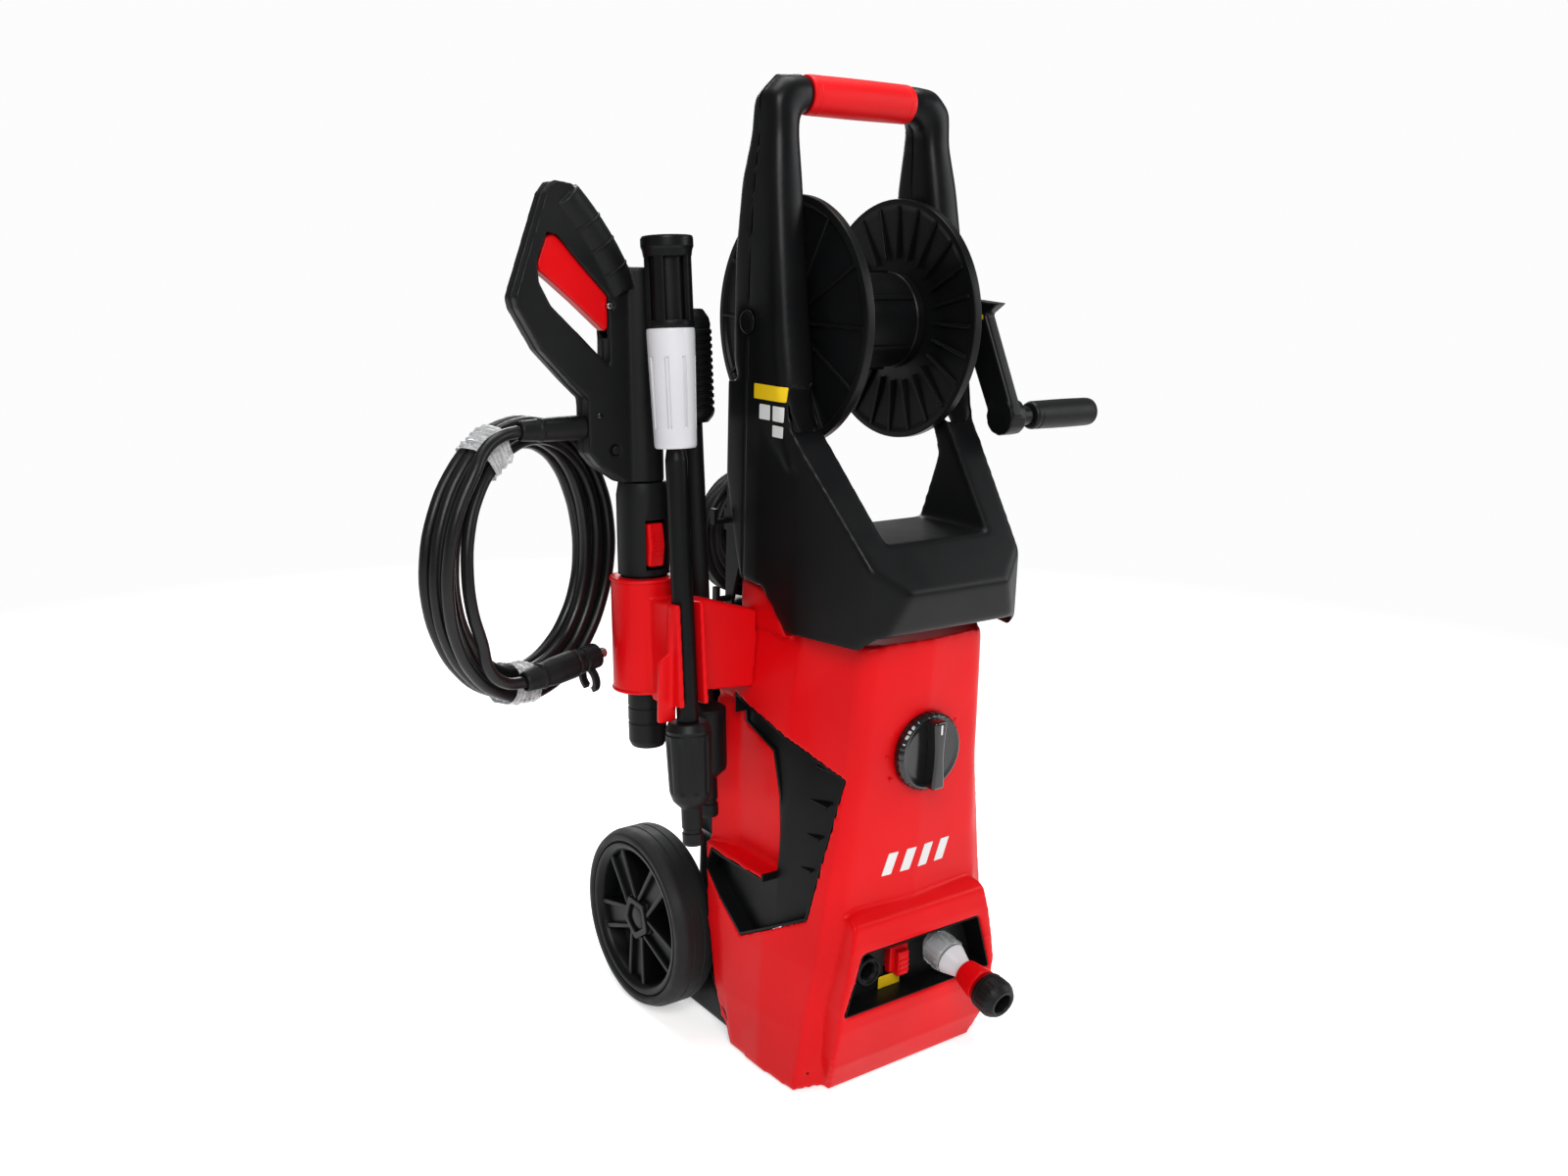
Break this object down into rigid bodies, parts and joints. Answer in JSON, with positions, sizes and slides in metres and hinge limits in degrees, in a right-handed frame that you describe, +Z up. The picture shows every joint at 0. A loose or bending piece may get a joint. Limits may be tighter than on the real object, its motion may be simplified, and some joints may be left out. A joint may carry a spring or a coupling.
{
  "type": "pressure washer",
  "caption": "Upright wheeled electric pressure washer with hose reel and crank, trigger gun, lances, hose and mains cord.",
  "frame": {"origin": "on the floor, at the middle of the base tray's flat underside", "axes": "+X to the right of someone facing the machine, -Y out of its front, +Z up"},
  "size_m": [0.6285, 0.4266, 0.899],
  "materials": {
    "red_shell": "satin moulded",
    "black_shell": "satin moulded",
    "gloss_black": "polished",
    "tyre_rubber": "matt",
    "hose_rubber": "satin",
    "white_plastic": "satin moulded",
    "clear_plastic": "clear",
    "steel": "brushed",
    "motor_alloy": "cast"
  },
  "bodies": {
    "chassis": {"front_cover": "red_shell", "side_grille_left": "black_shell", "side_grille_right": "black_shell", "connection_panel": "black_shell", "base_tray": "black_shell", "rear_cover": "black_shell", "axle": "steel", "upper_frame_front": "black_shell", "upper_frame_rear": "black_shell", "handle_grip": "red_shell", "rotary_switch": "black_shell", "outlet_socket": "black_shell", "inlet_spigot": "white_plastic", "inlet_nut": "clear_plastic", "connector_body": "black_shell", "motor": "motor_alloy", "pump": "motor_alloy", "inlet_pipe": "steel", "outlet_pipe": "steel", "accessory_bracket": "red_shell", "detergent_cap": "red_shell", "cord_hook": "black_shell", "cord_strain_relief": "black_shell", "power_cord_lead": "hose_rubber", "power_cord_coil": "hose_rubber", "power_cord_tail": "hose_rubber", "power_plug": "black_shell"},
    "wheel_left": {"tyre_left": "tyre_rubber", "wheel_hub_left": "black_shell"},
    "wheel_right": {"tyre_right": "tyre_rubber", "wheel_hub_right": "black_shell"},
    "reel": {"reel_flange_left": "black_shell", "reel_flange_right": "black_shell", "reel_drum": "black_shell", "reel_shaft": "steel", "crank_arm": "black_shell"},
    "crank_handle": {"crank_grip": "black_shell"},
    "knob": {"power_knob": "gloss_black"},
    "latch": {"outlet_latch": "red_shell"},
    "sleeve": {"connector_sleeve": "red_shell"},
    "fan": {"motor_fan": "black_shell"},
    "gun": {"gun_shell_front": "black_shell", "gun_shell_rear": "black_shell", "trigger_pin": "steel", "gun_hose_inlet": "black_shell", "gun_barrel": "black_shell", "gun_muzzle": "black_shell", "hose_lead": "hose_rubber", "hose_coil": "hose_rubber", "hose_tail": "hose_rubber", "hose_end_fitting": "black_shell"},
    "trigger": {"gun_trigger": "red_shell"},
    "safety_lock": {"gun_lock": "black_shell"},
    "release_button": {"gun_release_button": "red_shell"},
    "lance": {"lance_tube": "black_shell", "lance_coupling": "black_shell", "nozzle_crown": "black_shell"},
    "spray_sleeve": {"nozzle_sleeve": "white_plastic"},
    "turbo_lance": {"turbo_lance_tube": "black_shell", "turbo_nozzle": "black_shell"}
  },
  "joints": [
    {"name": "wheel_left_spin", "type": "hinge", "parent": "chassis", "child": "wheel_left", "pos_m": [-0.1325, 0.129, 0.091], "axis": [1, 0, 0], "continuous": true},
    {"name": "wheel_right_spin", "type": "hinge", "parent": "chassis", "child": "wheel_right", "pos_m": [0.1325, 0.129, 0.091], "axis": [1, 0, 0], "continuous": true},
    {"name": "reel_spin", "type": "hinge", "parent": "chassis", "child": "reel", "pos_m": [0, 0.0108, 0.691], "axis": [1, 0, 0], "continuous": true},
    {"name": "crank_handle_spin", "type": "hinge", "parent": "reel", "child": "crank_handle", "pos_m": [0.19, -0.078, 0.607], "axis": [1, 0, 0], "continuous": true},
    {"name": "power_knob_turn", "type": "hinge", "parent": "chassis", "child": "knob", "pos_m": [0, -0.1245, 0.319], "axis": [0, -1, 0], "range_deg": [0, 90]},
    {"name": "outlet_latch_press", "type": "slide", "parent": "chassis", "child": "latch", "axis": [0, 1, 0], "range_m": [0, 0.004], "stiffness_N_per_m": 400},
    {"name": "connector_sleeve_pull", "type": "slide", "parent": "chassis", "child": "sleeve", "axis": [0, -0.978, -0.2085], "range_m": [0, 0.004], "stiffness_N_per_m": 400},
    {"name": "motor_fan_spin", "type": "hinge", "parent": "chassis", "child": "fan", "pos_m": [0, 0.02, 0.356], "axis": [0, 0, 1], "continuous": true},
    {"name": "gun_lift", "type": "slide", "parent": "chassis", "child": "gun", "axis": [0, 0.0524, 0.9986], "range_m": [0, 0.15]},
    {"name": "trigger_pull", "type": "hinge", "parent": "gun", "child": "trigger", "pos_m": [-0.225, 0.0576, 0.7028], "axis": [0, 0.9986, -0.0524], "range_deg": [0, 12], "stiffness_Nm_per_rad": 1},
    {"name": "safety_lock_push", "type": "slide", "parent": "gun", "child": "safety_lock", "axis": [0, 0.9986, -0.0524], "range_m": [-0.004, 0.004]},
    {"name": "release_button_press", "type": "slide", "parent": "gun", "child": "release_button", "axis": [0, 0.9986, -0.0524], "range_m": [0, 0.003], "stiffness_N_per_m": 400},
    {"name": "lance_pull", "type": "slide", "parent": "chassis", "child": "lance", "axis": [0, -1, 0], "range_m": [0, 0.06]},
    {"name": "spray_sleeve_twist", "type": "hinge", "parent": "lance", "child": "spray_sleeve", "pos_m": [-0.1885, -0.0163, 0.42], "axis": [0, 0.0993, 0.9951], "range_deg": [0, 90]},
    {"name": "turbo_lance_pull", "type": "slide", "parent": "chassis", "child": "turbo_lance", "axis": [0, 1, 0], "range_m": [0, 0.06]}
  ]
}
